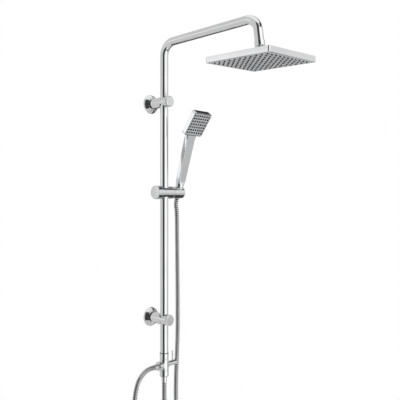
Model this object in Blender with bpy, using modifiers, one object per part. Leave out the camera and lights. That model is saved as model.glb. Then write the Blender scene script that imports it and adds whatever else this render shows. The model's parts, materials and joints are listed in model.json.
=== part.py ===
"""Rainfall shower column: a wall-held riser pipe with a rain head on its arm, a hand shower
on a sliding holder, a diverter at the foot and two steel hoses.

Frame: origin at the back of the lower wall plate, on the wall. X to the right as seen from the
room, -Y out of the wall, Z up. Metres.
"""
import math

import bmesh
import bpy
from mathutils import Matrix, Vector

# ---------------------------------------------------------------- driving dimensions (metres)
GAP = 0.0003                 # clearance between neighbouring pieces

RISER_OUT = 0.062            # wall to the riser's axis
RISER_R = 0.012
RISER_BORE_R = 0.0105
RISER_FOOT_Z = -0.1162
ARM_Z = 0.822                # centreline of the arm
ARM_REACH = 0.348            # riser axis to the down pipe at the arm's height
DOWN_LEAN = math.radians(7.9)
BEND_R = 0.038

UPPER_Z = 0.648              # upper wall bracket above the lower one
PLATE_R, PLATE_T = 0.0245, 0.004
POST_R, POST_FRONT = 0.016, 0.0834
FLANGE_R, FLANGE_D = 0.0285, 0.0150
FLANGE_TURN = math.radians(-28)   # how much the dome curves from its crest to its rim
MOAT = 0.0034                # width of the groove between the dome and the post
CAP_T = 0.0046

BALL_Z = 0.7303
BALL_R = 0.010
SOCKET_R = 0.0116
HEAD_SIDE, HEAD_T, HEAD_DROP = 0.1997, 0.0153, 0.0103
HEAD_ROLL = math.radians(3.2)     # the rain head as it is set: right side up
HEAD_PITCH = math.radians(2.1)    # and its outer side down
RAIN_GRID, RAIN_PITCH = 11, 0.0166

SLIDER_Z = 0.3785
SLIDER_R = 0.0185
KNOB_R, KNOB_FACE = 0.020, -0.037
BARREL_R, BARREL_X0, BARREL_X1 = 0.0175, 0.0291, 0.074
HOLD_X = 0.058               # the handset's socket along the barrel
HOLD_TILT = math.radians(17.0)

HAND_W, HAND_L, HAND_T = 0.0705, 0.0764, 0.0162
HAND_TILT = math.radians(37.2)
HAND_FACE_OUT, HAND_FACE_UP = 0.0859, 0.1992   # face centre from the barrel's axis
HAND_GRID, HAND_PITCH = 7, 0.0094

DIV_Z = -0.136               # diverter cross centre
DIV_R = 0.0132
DIV_HANDLE_R, DIV_HANDLE_END = 0.0075, 0.050
LEVER_X, LEVER_R, LEVER_TIP = 0.034, 0.0025, 0.0367

HOSE_R = 0.007
HOSE_TOP_PART, HOSE_MID_PART = 0.090, 0.15
SUPPLY_TOP, SUPPLY_LENGTH = -0.1888, 0.45

RY = -RISER_OUT
HAND_UP = Vector((0, -math.sin(HOLD_TILT), math.cos(HOLD_TILT)))
HAND_FRONT = Vector((0, -math.cos(HOLD_TILT), -math.sin(HOLD_TILT)))
PIVOT = Vector((HOLD_X, RY, SLIDER_Z))
DOWN_UP = Vector((0, math.sin(DOWN_LEAN), math.cos(DOWN_LEAN)))
BALL = Vector((0, RY - ARM_REACH - (ARM_Z - BALL_Z) * math.tan(DOWN_LEAN), BALL_Z))

# ---------------------------------------------------------------- scene and materials
for old in list(bpy.data.objects):
    bpy.data.objects.remove(old, do_unlink=True)
for old in list(bpy.data.collections):
    bpy.data.collections.remove(old)

parts = bpy.data.collections.new("rain_shower_column")
cutters = bpy.data.collections.new("cutters")
bpy.context.scene.collection.children.link(parts)
bpy.context.scene.collection.children.link(cutters)

FINISH = {
    "chrome": ((0.80, 0.81, 0.82), 0.08, 1.0),
    "steel": ((0.62, 0.62, 0.61), 0.30, 1.0),
    "brass": ((0.62, 0.48, 0.24), 0.28, 1.0),
    "satin": ((0.55, 0.56, 0.57), 0.34, 1.0),
    "silicone": ((0.03, 0.03, 0.032), 0.55, 0.0),
    "rubber": ((0.04, 0.04, 0.04), 0.70, 0.0),
    "acetal": ((0.86, 0.86, 0.83), 0.38, 0.0),
    "ceramic": ((0.88, 0.87, 0.84), 0.22, 0.0),
}


def finish(ob, kind):
    colour, rough, metal = FINISH[kind]
    mat = bpy.data.materials.new(ob.name + "_" + kind)
    mat.use_nodes = True
    node = mat.node_tree.nodes["Principled BSDF"]
    node.inputs["Base Color"].default_value = (*colour, 1)
    node.inputs["Roughness"].default_value = rough
    node.inputs["Metallic"].default_value = metal
    ob.data.materials.clear()
    ob.data.materials.append(mat)
    return ob


def add(name, data, place=None, kind=None):
    """Put a piece in the model, or a cutter in its own collection when it has no finish."""
    ob = bpy.data.objects.new(name, data)
    if place is not None:
        ob.matrix_world = place
    if kind:
        parts.objects.link(ob)
        finish(ob, kind)
    else:
        cutters.objects.link(ob)
        ob.hide_render = True
        ob.display_type = "WIRE"
    return ob


def mesh_from(name, bm):
    me = bpy.data.meshes.new(name)
    bmesh.ops.recalc_face_normals(bm, faces=bm.faces)
    bm.to_mesh(me)
    bm.free()
    return me


def smooth(ob, angle=35):
    ob.data.shade_smooth()
    ob.data.set_sharp_from_angle(angle=math.radians(angle))
    return ob


def along(origin, axis, front=None):
    """A placement whose local Z lies on axis, and whose local Y lies near front."""
    z = Vector(axis).normalized()
    y = Vector(front) if front is not None else (
        Vector((0, 0, 1)) if abs(z.z) < 0.9 else Vector((0, 1, 0)))
    x = y.cross(z).normalized()
    y = z.cross(x)
    m = Matrix((x, y, z)).transposed().to_4x4()
    m.translation = Vector(origin)
    return m


def turned(name, profile, place, kind=None, steps=14, closed=True):
    """A turned piece: (radius, height) points down its outer side, then back up the bore."""
    me = bpy.data.meshes.new(name)
    n = len(profile)
    edges = [(i, i + 1) for i in range(n - 1)] + ([(n - 1, 0)] if closed else [])
    me.from_pydata([(r, 0, h) for r, h in profile], edges, [])
    ob = add(name, me, place, kind)
    mod = ob.modifiers.new("turn", "SCREW")
    mod.axis = "Z"
    mod.steps = mod.render_steps = steps
    mod.use_merge_vertices = True
    mod.merge_threshold = 0.00001
    mod.use_smooth_shade = True
    return ob


def solid(name, profile, place, kind=None, steps=14):
    """A turned piece with no bore: its profile starts and ends on the axis."""
    return turned(name, profile, place, kind, steps, closed=False)


def disc_profile(r, h0, h1, c=0.0):
    """A plain cylinder from h0 up to h1 with chamfers c."""
    if c:
        return [(0, h1), (r - c, h1), (r, h1 - c), (r, h0 + c), (r - c, h0), (0, h0)]
    return [(0, h1), (r, h1), (r, h0), (0, h0)]


def ring_profile(r0, r1, h0, h1, c=0.0):
    """A plain ring between the radii r0 < r1, from h0 up to h1, chamfered outside."""
    if c:
        return [(r0, h1), (r1 - c, h1), (r1, h1 - c), (r1, h0 + c), (r1 - c, h0), (r0, h0)]
    return [(r0, h1), (r1, h1), (r1, h0), (r0, h0)]


def arc(start, end, turn, n):
    """Points from start to end on a circle that turns through an angle, to the left if positive."""
    a, b = Vector(start), Vector(end)
    chord = b - a
    centre = (a + b) / 2 + Vector((-chord.y, chord.x)) / (2 * math.tan(turn / 2))
    spoke = a - centre
    return [tuple(centre + Matrix.Rotation(turn * i / (n - 1), 2) @ spoke) for i in range(n)]


def rod_cutter(name, r, h0, h1, place, steps=16):
    return solid(name, disc_profile(r, h0, h1), place, None, steps)


def box_mesh(name, size, centre=(0, 0, 0)):
    bm = bmesh.new()
    bmesh.ops.create_cube(bm, size=1)
    bmesh.ops.scale(bm, vec=size, verts=bm.verts)
    bmesh.ops.translate(bm, vec=centre, verts=bm.verts)
    return mesh_from(name, bm)


def boolean(ob, other, how="DIFFERENCE"):
    mod = ob.modifiers.new(how.lower() + "_" + other.name, "BOOLEAN")
    mod.operation = how
    mod.solver = "EXACT"
    mod.object = other
    return ob


def cut(ob, *others):
    for other in others:
        boolean(ob, other)
    return ob


def join(ob, *others):
    for other in others:
        boolean(ob, other, "UNION")
    return ob


def bevel(ob, width, segments=2, angle=35):
    mod = ob.modifiers.new("edges", "BEVEL")
    mod.width = width
    mod.segments = segments
    mod.limit_method = "ANGLE"
    mod.angle_limit = math.radians(angle)
    return ob


def pipe(name, points, radius, resolution, kind=None):
    """A round tube along a poly line, with filled ends."""
    cu = bpy.data.curves.new(name, "CURVE")
    cu.dimensions = "3D"
    sp = cu.splines.new("POLY")
    sp.points.add(len(points) - 1)
    for p, co in zip(sp.points, points):
        p.co = (*co, 1)
    cu.bevel_depth = radius
    cu.bevel_resolution = resolution
    cu.use_fill_caps = True
    return add(name, cu, None, kind)


def pipe_mesh(name, points, radius, resolution, kind=None):
    """The same tube as a welded mesh, so that it can be cut and can cut."""
    cu = pipe(name + "_curve", points, radius, resolution)
    bpy.context.view_layer.update()
    me = bpy.data.meshes.new_from_object(
        cu.evaluated_get(bpy.context.evaluated_depsgraph_get()))
    place = cu.matrix_world.copy()
    bpy.data.objects.remove(cu, do_unlink=True)
    bm = bmesh.new()
    bm.from_mesh(me)
    bmesh.ops.remove_doubles(bm, verts=bm.verts, dist=0.000001)
    bmesh.ops.recalc_face_normals(bm, faces=bm.faces)
    bm.to_mesh(me)
    bm.free()
    me.name = name
    return add(name, me, place, kind)


# ---------------------------------------------------------------- riser pipe with its arm
def bend(corner, arrive, leave, radius, count=7):
    """Points round a corner between two directions."""
    arrive, leave = Vector(arrive).normalized(), Vector(leave).normalized()
    half = arrive.angle(leave) / 2
    start = Vector(corner) - arrive * radius * math.tan(half)
    side = (leave - arrive * leave.dot(arrive)).normalized()
    centre = start + side * radius
    return [centre - side * radius * math.cos(t) + arrive * radius * math.sin(t)
            for t in (2 * half * i / (count - 1) for i in range(count))]


PIPE_END = 0.0226            # the pipe's end above the ball, along the down pipe
corner_top = Vector((0, RY, ARM_Z))
corner_out = Vector((0, RY - ARM_REACH, ARM_Z))


def riser_points(foot, end):
    pts = [Vector((0, RY, foot)), Vector((0, RY, 0.2))]
    pts += bend(corner_top, (0, 0, 1), (0, -1, 0), BEND_R)
    pts += bend(corner_out, (0, -1, 0), -DOWN_UP, BEND_R)
    pts.append(BALL + DOWN_UP * end)
    return pts


riser = pipe_mesh("riser_pipe", riser_points(RISER_FOOT_Z, PIPE_END), RISER_R, 6, "chrome")
cut(riser, pipe_mesh("riser_bore", riser_points(RISER_FOOT_Z - 0.01, PIPE_END - 0.01),
                     RISER_BORE_R, 4))
smooth(riser)

# ---------------------------------------------------------------- wall brackets
for where, z in (("upper", UPPER_Z), ("lower", 0.0)):
    out = along((0, 0, z), (0, -1, 0), (0, 0, 1))     # local Z runs out of the wall
    plate = solid("wall_plate_" + where, [
        (0, 0.0115), (0.0100, 0.0115), (0.0100, PLATE_T), (PLATE_R, PLATE_T), (PLATE_R, 0),
        (0, 0)], out, "steel", 20)
    for side in (-1, 1):
        cut(plate, solid(f"plate_hole_{where}_{side}", [
            (0, 0.006), (0.0045, 0.006), (0.0045, 0.0041), (0.0024, 0.002), (0.0024, -0.002), (0, -0.002)],
            out @ Matrix.Translation((side * 0.0172, 0, 0)), None, 10))
    turned("wall_flange_" + where, arc(
        (POST_R + MOAT, FLANGE_D), (FLANGE_R, 0.0025), FLANGE_TURN, 5) + [(FLANGE_R, 0.0003)] + arc(
        (FLANGE_R - 0.0014, 0.0003), (POST_R + MOAT + 0.0010, FLANGE_D - 0.0022), -FLANGE_TURN, 4) + [
        (POST_R + MOAT + 0.0010, 0.0058), (POST_R + GAP, 0.0058), (POST_R + GAP, 0.0068),
        (POST_R + MOAT, 0.0068)], out, "chrome", 20)
    post = solid("bracket_post_" + where, disc_profile(
        POST_R, PLATE_T + GAP, POST_FRONT, 0.0004), out, "chrome", 20)
    cut(post,
        rod_cutter("post_back_bore_" + where, 0.0103, 0, 0.0120, out),
        rod_cutter("post_riser_bore_" + where, RISER_R + GAP, -0.03, 0.03,
                   along((0, RY, z), (0, 0, 1)), 20),
        rod_cutter("post_screw_bore_" + where, 0.0043, 0.070, 0.090, out, 16))
    screw = solid("riser_set_screw_" + where, [
        (0, 0.0824), (0.0040, 0.0824), (0.0040, 0.0762), (0.0028, 0.0744), (0, 0.0744)],
        out, "steel", 12)
    cut(screw, rod_cutter("screw_socket_" + where, 0.0022, 0.0792, 0.084, out, 6))
    solid("bracket_end_cap_" + where, [
        (0, POST_FRONT + GAP + CAP_T), (0.0132, POST_FRONT + GAP + CAP_T),
        (POST_R - 0.0008, POST_FRONT + GAP + CAP_T - 0.0003),
        (POST_R, POST_FRONT + GAP + CAP_T - 0.0012), (POST_R, POST_FRONT + GAP + 0.0006),
        (POST_R - 0.0006, POST_FRONT + GAP), (0, POST_FRONT + GAP)], out, "chrome", 20)

# ---------------------------------------------------------------- union nut and ball joint
down = along(BALL, DOWN_UP, (1, 0, 0))
turned("arm_union_nut", [
    (0.0123, 0.0310), (0.0129, 0.0310), (0.0135, 0.0304), (0.0135, 0.0163), (0.0127, 0.0155),
    (0.0055, 0.0155), (0.0055, 0.0177), (0.0123, 0.0177)], down, "chrome", 20)
ball_profile = [(0.0030, 0.0205), (0.0119, 0.0205), (0.0119, 0.0180), (0.0042, 0.0180), (0.0042, 0.0090)]
ball_profile += [(BALL_R * math.cos(t), BALL_R * math.sin(t))
                 for t in (math.radians(58 - 16 * i) for i in range(1, 9))]
ball_profile += [(0.0030, -0.0090)]
turned("ball_stem", ball_profile, down, "chrome", 18)
turned("pipe_end_washer", ring_profile(0.0070, 0.0117, 0.0208, 0.0223), down, "rubber", 16)


def zone(r, a0, a1, n):
    return [(r * math.cos(t), r * math.sin(t))
            for t in (math.radians(a0 + (a1 - a0) * i / (n - 1)) for i in range(n))]


turned("ball_slip_ring", zone(0.01130, 38, -52, 7) + zone(0.01034, -52, 38, 7),
       along(BALL, (0, 0, 1), (1, 0, 0)), "acetal", 18)

# ---------------------------------------------------------------- rain head, set a little askew
HEAD = (Matrix.Translation(BALL) @ Matrix.Rotation(-HEAD_ROLL, 4, "Y")
        @ Matrix.Rotation(HEAD_PITCH, 4, "X"))
turned("ball_seal_ring", zone(0.01140, -56, -68, 3) + zone(0.01035, -68, -56, 3),
       along(BALL, (0, 0, 1), (1, 0, 0)), "rubber", 16)

collar = [(0.0093, 0.0105), (0.0102, 0.0105), (0.0112, 0.0098), (0.0160, 0.0010), (0.0175, -0.0016),
          (0.0175, -0.0090), (0.0170, -0.0095), (0.0153, -0.0095), (0.0153, -0.0007)]
collar += [(SOCKET_R * math.cos(t), SOCKET_R * math.sin(t))
           for t in (math.radians(-3.4 + 12.45 * i) for i in range(5))]
turned("ball_collar", collar, HEAD, "chrome", 20)


def square_box(name, side, h0, h1, corner, seg, place, kind=None):
    """A square plate with rounded upright corners, from h0 up to h1."""
    bm = bmesh.new()
    bmesh.ops.create_cube(bm, size=1)
    size = (side, side, h1 - h0) if not isinstance(side, tuple) else (*side, h1 - h0)
    bmesh.ops.scale(bm, vec=size, verts=bm.verts)
    bmesh.ops.translate(bm, vec=(0, 0, (h0 + h1) / 2), verts=bm.verts)
    if corner:
        upright = [e for e in bm.edges if abs(e.verts[0].co.z - e.verts[1].co.z) > 1e-6]
        bmesh.ops.bevel(bm, geom=upright, offset=corner, segments=seg, profile=0.5,
                        affect="EDGES")
    return add(name, mesh_from(name, bm), place, kind)


def grid_of(name, count, pitch, r0, r1, h0, h1, sides, place):
    """A square grid of small tapered pegs, r0 at h0 and r1 at h1, as a cutter."""
    bm = bmesh.new()
    for i in range(count):
        for j in range(count):
            at = Matrix.Translation(((i - (count - 1) / 2) * pitch,
                                     (j - (count - 1) / 2) * pitch, (h0 + h1) / 2))
            bmesh.ops.create_cone(bm, cap_ends=True, segments=sides, radius1=r0, radius2=r1,
                                  depth=h1 - h0, matrix=at)
    return add(name, mesh_from(name, bm), place)


TOP = -HEAD_DROP             # the head's upper face, below the ball's centre
BOT = TOP - HEAD_T
shell = square_box("rain_head_shell", HEAD_SIDE, BOT, TOP, 0.004, 4, HEAD, "chrome")
bevel(shell, 0.0009, 2, 50)
cut(shell, square_box("head_cavity", HEAD_SIDE - 0.0052, BOT - 0.01, TOP - 0.0022, 0.002, 2, HEAD))
join(shell, solid("head_boss", disc_profile(0.0150, TOP - 0.0060, -0.0010), HEAD, None, 22))
cut(shell,
    solid("head_socket", [(0, SOCKET_R)] + zone(SOCKET_R, 75, -75, 9) + [(0, -SOCKET_R)],
          HEAD, None, 22),
    rod_cutter("head_waterway", 0.0045, TOP - 0.02, 0, HEAD, 16))
smooth(shell)

face = square_box("rain_face_plate", HEAD_SIDE - 0.0058, BOT + 0.0004, BOT + 0.0019, 0.0017, 2,
                  HEAD, "satin")
cut(face, grid_of("rain_holes", RAIN_GRID, RAIN_PITCH, 0.0031, 0.0031, BOT - 0.01, BOT + 0.01,
                  4, HEAD))
mat = square_box("rain_nozzle_mat", HEAD_SIDE - 0.0070, BOT + 0.0022, BOT + 0.0034, 0, 1,
                 HEAD, "silicone")
join(mat, grid_of("rain_nozzles", RAIN_GRID, RAIN_PITCH, 0.0018, 0.0025, BOT - 0.0020,
                  BOT + 0.0029, 4, HEAD))

# ---------------------------------------------------------------- slider on the riser
right = along((0, RY, SLIDER_Z), (1, 0, 0), (0, 0, 1))
upright = along((0, RY, SLIDER_Z), (0, 0, 1), (0, -1, 0))
body = solid("slider_body", disc_profile(SLIDER_R, -0.0183, 0.0275, 0.0006), right, "chrome", 20)
cut(body,
    rod_cutter("slider_riser_bore", 0.0137, -0.03, 0.03, upright, 22),
    rod_cutter("slider_screw_bore", 0.0043, -0.030, 0, right, 16),
    rod_cutter("slider_pivot_bore", 0.0043, 0.010, 0.040, right, 16))
bush = turned("slider_bush", ring_profile(RISER_R + 0.00035, 0.0134, -0.0120, 0.0120), upright,
              "acetal", 18)
cut(bush, rod_cutter("bush_shoe_hole", 0.0040, -0.030, 0, right, 12))
solid("clamp_shoe", disc_profile(0.0036, -0.0158, -0.0124, 0.0003), right, "brass", 16)
solid("clamp_screw", [
    (0, -0.0161), (0.0032, -0.0161), (0.0039, -0.0168), (0.0039, -0.0300), (0, -0.0300)],
    right, "steel", 16)
knob = solid("clamp_knob", [
    (0, -0.0186), (0.0150, -0.0186), (0.0188, -0.0190), (KNOB_R, -0.0204), (KNOB_R, -0.0352),
    (KNOB_R - 0.0008, KNOB_FACE + 0.0004), (KNOB_R - 0.0022, KNOB_FACE), (0, KNOB_FACE)],
    right, "chrome", 20)
cut(knob, rod_cutter("knob_screw_bore", 0.0042, -0.0303, 0, right, 16))
solid("holder_pivot_pin", disc_profile(0.0040, 0.0142, 0.0400, 0.0004), right, "steel", 16)
turned("holder_friction_washer", ring_profile(0.0045, 0.0140, 0.0278, 0.0288), right, "acetal", 18)

# ---------------------------------------------------------------- handset holder barrel
hand = along(PIVOT, HAND_UP, HAND_FRONT)     # local Z up the handset, local Y out of its face
NUT_LOW, NUT_HIGH, NUT_R0, NUT_R1 = -0.015, 0.019, 0.0105, 0.0125


def nut_r(s):
    return NUT_R0 + (NUT_R1 - NUT_R0) * (s - NUT_LOW) / (NUT_HIGH - NUT_LOW)


barrel = solid("handset_holder", [
    (0, BARREL_X1), (BARREL_R - 0.0042, BARREL_X1), (BARREL_R - 0.0016, BARREL_X1 - 0.0010),
    (BARREL_R - 0.0003, BARREL_X1 - 0.0030), (BARREL_R, BARREL_X1 - 0.0052),
    (BARREL_R, BARREL_X0 + 0.0006), (BARREL_R - 0.0006, BARREL_X0), (0, BARREL_X0)],
    right, "chrome", 20)
slot = box_mesh("holder_slot", (0.030, 0.0156, 0.080), (-0.015, 0, 0))   # local -X is the open end
cut(barrel,
    solid("holder_socket", [
        (0, 0.030), (nut_r(0.030) + 0.00035, 0.030), (nut_r(-0.030) + 0.00035, -0.030),
        (0, -0.030)], hand, None, 22),
    add("holder_slot", slot, hand),
    rod_cutter("holder_pivot_bore", 0.0043, 0.020, 0.0405, right, 16))

# ---------------------------------------------------------------- handset
FACE = PIVOT + Vector((0, -HAND_FACE_OUT, HAND_FACE_UP))
FACE_UP = Vector((0, -math.sin(HAND_TILT), math.cos(HAND_TILT)))
FACE_OUT = Vector((0, -math.cos(HAND_TILT), -math.sin(HAND_TILT)))
head = along(FACE, FACE_OUT, FACE_UP)        # local Z out of the face, local Y up it


def loft(name, rings, place, kind=None):
    """Skin a stack of closed sections that have the same number of points."""
    bm = bmesh.new()
    rows = [[bm.verts.new(p) for p in ring] for ring in rings]
    n = len(rows[0])
    for a, b in zip(rows, rows[1:]):
        for i in range(n):
            bm.faces.new((a[i], a[(i + 1) % n], b[(i + 1) % n], b[i]))
    bm.faces.new(rows[0][::-1])
    bm.faces.new(rows[-1])
    return add(name, mesh_from(name, bm), place, kind)


def section(centre, front, wide, thick, power, count=24):
    """A rounded-rectangle section (a superellipse) with its width along X."""
    pts = []
    for i in range(count):
        t = 2 * math.pi * (i + 0.5) / count
        c, s = math.cos(t), math.sin(t)
        x = math.copysign(abs(c) ** (2 / power), c) * wide / 2
        y = math.copysign(abs(s) ** (2 / power), s) * thick / 2
        pts.append(Vector(centre) + Vector((1, 0, 0)) * x + Vector(front) * y)
    return pts


GRIP = [  # height along the handle, width, thickness, squareness
    (0.0193, 0.0236, 0.0236, 2.0), (0.0240, 0.0240, 0.0236, 2.1), (0.0290, 0.0256, 0.0214, 2.7),
    (0.0350, 0.0276, 0.0180, 4.5), (0.0450, 0.0284, 0.0162, 8.0), (0.0900, 0.0296, 0.0150, 9.0),
    (0.1500, 0.0316, 0.0146, 9.0), (0.1660, 0.0322, 0.0146, 9.0)]
rings = [section(PIVOT + HAND_UP * s, HAND_FRONT, w, t, p) for s, w, t, p in GRIP]
mid = FACE - FACE_OUT * (HAND_T * 0.52)
neck_front = (HAND_FRONT + FACE_OUT).normalized()
rings.append(section(mid - FACE_UP * (HAND_L / 2 + 0.0010), neck_front, 0.0330, 0.0140, 9.0))
rings.append(section(mid - FACE_UP * (HAND_L / 2 - 0.0120), FACE_OUT, 0.0330, 0.0120, 9.0))
handle = loft("handset_grip", rings, None)
hshell = square_box("handset_shell", (HAND_W, HAND_L), -HAND_T, 0, 0.0045, 4, head, "chrome")
bevel(hshell, 0.0011, 2, 50)
join(hshell, handle)
cut(hshell,
    square_box("handset_cavity", (HAND_W - 0.0052, HAND_L - 0.0052), -HAND_T + 0.0024, 0.01,
               0.0025, 2, head),
    rod_cutter("handset_waterway", 0.0042, 0.0, 0.1790, hand, 16),
    rod_cutter("handset_inlet", 0.0092, 0.0, 0.0285, hand, 24))
smooth(hshell)

hface = square_box("handset_face_plate", (HAND_W - 0.0058, HAND_L - 0.0058), -0.0019, -0.0004,
                   0.0022, 2, head, "satin")
cut(hface, grid_of("handset_holes", HAND_GRID, HAND_PITCH, 0.0028, 0.0028, -0.01, 0.01, 4, head))
hmat = square_box("handset_nozzle_mat", (HAND_W - 0.0070, HAND_L - 0.0070), -0.0034, -0.0022,
                  0, 1, head, "silicone")
join(hmat, grid_of("handset_nozzles", HAND_GRID, HAND_PITCH, 0.0023, 0.0018, -0.0029, 0.0012,
                   4, head))
turned("handset_connector", [
    (0.0050, 0.0275), (0.0089, 0.0275), (0.0089, 0.0190), (0.0104, 0.0190), (0.0104, 0.0090),
    (0.0098, 0.0084), (0.0050, 0.0084)], hand, "brass", 20)
turned("handset_hose_nut", [
    (0.0107, NUT_HIGH), (NUT_R1 - 0.0003, NUT_HIGH), (NUT_R1, NUT_HIGH - 0.0005),
    (NUT_R0, NUT_LOW + 0.0010), (NUT_R0 - 0.0010, NUT_LOW), (0.0080, NUT_LOW),
    (0.0080, 0.0042), (0.0107, 0.0042)], hand, "chrome", 20)
turned("handset_hose_sleeve", [
    (0.0050, 0.0062), (0.0103, 0.0062), (0.0103, 0.0045), (0.0077, 0.0045), (0.0077, -0.0190),
    (0.0050, -0.0190)], hand, "steel", 16)
turned("handset_hose_washer", ring_profile(0.0050, 0.0102, 0.0065, 0.0081), hand, "rubber", 16)

# ---------------------------------------------------------------- diverter
top = along((0, RY, DIV_Z), (0, 0, 1), (0, -1, 0))
side = along((0, RY, DIV_Z), (1, 0, 0), (0, 0, 1))
dbody = solid("diverter_body", [
    (0, 0.0320), (0.0080, 0.0320), (0.0085, 0.0315), (0.0085, 0.0195), (DIV_R - 0.0004, 0.0195),
    (DIV_R, 0.0191), (DIV_R, -0.0136), (DIV_R - 0.0004, -0.0140), (0.0104, -0.0140),
    (0.0104, -0.0232), (0.0098, -0.0240), (0, -0.0240)], top, "chrome", 20)
join(dbody, solid("diverter_cross", [
    (0, 0.0133), (0.0104, 0.0133), (0.0108, 0.0129), (0.0108, -0.0100), (0.0104, -0.0104),
    (0.0104, -0.0222), (0.0098, -0.0228), (0, -0.0228)], side, None, 20))
cut(dbody,
    rod_cutter("diverter_upright_way", 0.0062, -0.040, 0.040, top, 12),
    rod_cutter("diverter_side_way", 0.0062, -0.040, 0, side, 12),
    rod_cutter("diverter_chamber", 0.0085, -0.0060, 0.030, side, 18))
turned("diverter_collar", [
    (RISER_R + GAP, 0.0370), (DIV_R - 0.0012, 0.0370), (DIV_R, 0.0345), (DIV_R, 0.0202),
    (DIV_R - 0.0004, 0.0198), (RISER_R + GAP, 0.0198)], top, "chrome", 20)
turned("riser_seal_ring", ring_profile(0.0088, 0.0099, 0.0240, 0.0265), top, "rubber", 16)
turned("diverter_cartridge", ring_profile(0.0034, 0.0082, 0.0040, 0.0132), side, "brass", 22)
spindle = solid("diverter_spindle", [
    (0, 0.0260), (0.0027, 0.0260), (0.0030, 0.0257), (0.0030, 0.0037), (0.0080, 0.0037),
    (0.0080, -0.0055), (0, -0.0055)], side, "ceramic", 20)
cut(spindle, add("spindle_port", box_mesh("spindle_port", (0.020, 0.0090, 0.0070),
                                         (0, -0.0055, -0.0034)), side))
dhandle = solid("diverter_handle", [
    (0, DIV_HANDLE_END), (DIV_HANDLE_R - 0.0010, DIV_HANDLE_END),
    (DIV_HANDLE_R, DIV_HANDLE_END - 0.0010), (DIV_HANDLE_R, 0.0142), (DIV_HANDLE_R - 0.0006, 0.0136),
    (0, 0.0136)], side, "chrome", 20)
lever_at = along((LEVER_X, RY, DIV_Z), (0, 0, 1), (0, -1, 0))
screw_at = along((0.020, RY, DIV_Z), (0, 0, 1), (0, -1, 0))
cut(dhandle,
    rod_cutter("handle_spindle_bore", 0.0033, 0, 0.0265, side, 16),
    rod_cutter("handle_lever_bore", LEVER_R + GAP, 0.0018, 0.020, lever_at, 16),
    rod_cutter("handle_screw_bore", 0.0019, -0.020, 0, screw_at, 12))
solid("diverter_lever", [
    (0, LEVER_TIP), (LEVER_R - 0.0009, LEVER_TIP), (LEVER_R, LEVER_TIP - 0.0009), (LEVER_R, 0.0021),
    (0, 0.0021)], lever_at, "chrome", 20)
solid("handle_set_screw", disc_profile(0.0016, -0.0068, -0.0034), screw_at, "steel", 12)

# ---------------------------------------------------------------- hoses
turned("hose_nut_diverter", [
    (0.0108, -0.0137), (0.0121, -0.0137), (0.0133, -0.0149), (0.0133, -0.0246), (0.0109, -0.0270),
    (0.0079, -0.0270), (0.0079, -0.0252), (0.0108, -0.0252)], side, "chrome", 20)
turned("hose_sleeve_diverter", [
    (0.0052, -0.0231), (0.0103, -0.0231), (0.0103, -0.0249), (0.0076, -0.0249), (0.0076, -0.0275),
    (0.0080, -0.0280), (0.0080, -0.0390), (0.0075, -0.0400), (0.0052, -0.0400)], side, "chrome", 20)
turned("supply_hose_nut", [
    (0.0108, -0.0143), (0.0128, -0.0143), (0.0133, -0.0148), (0.0133, -0.0320), (0.0125, -0.0328),
    (0.0079, -0.0328), (0.0079, -0.0310), (0.0108, -0.0310)], top, "chrome", 20)
turned("supply_hose_washer", ring_profile(0.0062, 0.0103, -0.0272, -0.0243), top, "rubber", 16)
turned("supply_hose_sleeve", [
    (0.0052, -0.0275), (0.0103, -0.0275), (0.0103, -0.0307), (0.0076, -0.0307), (0.0076, -0.0334),
    (0.0084, -0.0340), (0.0084, -0.0380), (0.0075, -0.0522), (0.0072, -0.0525), (0.0052, -0.0525)],
    top, "chrome", 20)

HOSE_BORE_R = 0.0061


def hose(name, points):
    """A length of hose: a thin-walled tube, open at both ends."""
    first, last = Vector(points[0]), Vector(points[-1])
    inner = [first + (first - Vector(points[1])).normalized() * 0.004]
    inner += [Vector(p) for p in points[1:-1]]
    inner.append(last + (last - Vector(points[-2])).normalized() * 0.004)
    ob = pipe_mesh(name, points, HOSE_R, 2, "steel")
    cut(ob, pipe_mesh(name + "_bore", inner, HOSE_BORE_R, 1))
    return smooth(ob)


supply_foot = SUPPLY_TOP - SUPPLY_LENGTH
hose("supply_hose", [(0, RY, SUPPLY_TOP - SUPPLY_LENGTH * i / 4) for i in range(5)])
foot = along((0, RY, supply_foot), (0, 0, -1), (0, -1, 0))
turned("supply_end_sleeve", [
    (0.0052, 0.0230), (0.0103, 0.0230), (0.0103, 0.0200), (0.0076, 0.0200), (0.0076, 0.0186),
    (0.0084, 0.0180), (0.0084, 0.0140), (0.0075, 0.0006), (0.0072, 0.0003), (0.0052, 0.0003)],
    foot, "chrome", 20)
end_nut = solid("supply_end_nut", [
    (0, 0.0345), (0.0134, 0.0345), (0.0140, 0.0337), (0.0140, 0.0200), (0.0132, 0.0190), (0, 0.0190)],
    foot, "chrome", 6)
cut(end_nut, solid("end_nut_bore", [
    (0, 0.0360), (0.0107, 0.0360), (0.0107, 0.0197), (0.0080, 0.0197), (0.0080, 0.0180), (0, 0.0180)],
    foot, None, 20))
turned("supply_end_washer", ring_profile(0.0062, 0.0101, 0.0233, 0.0253), foot, "rubber", 16)

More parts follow.
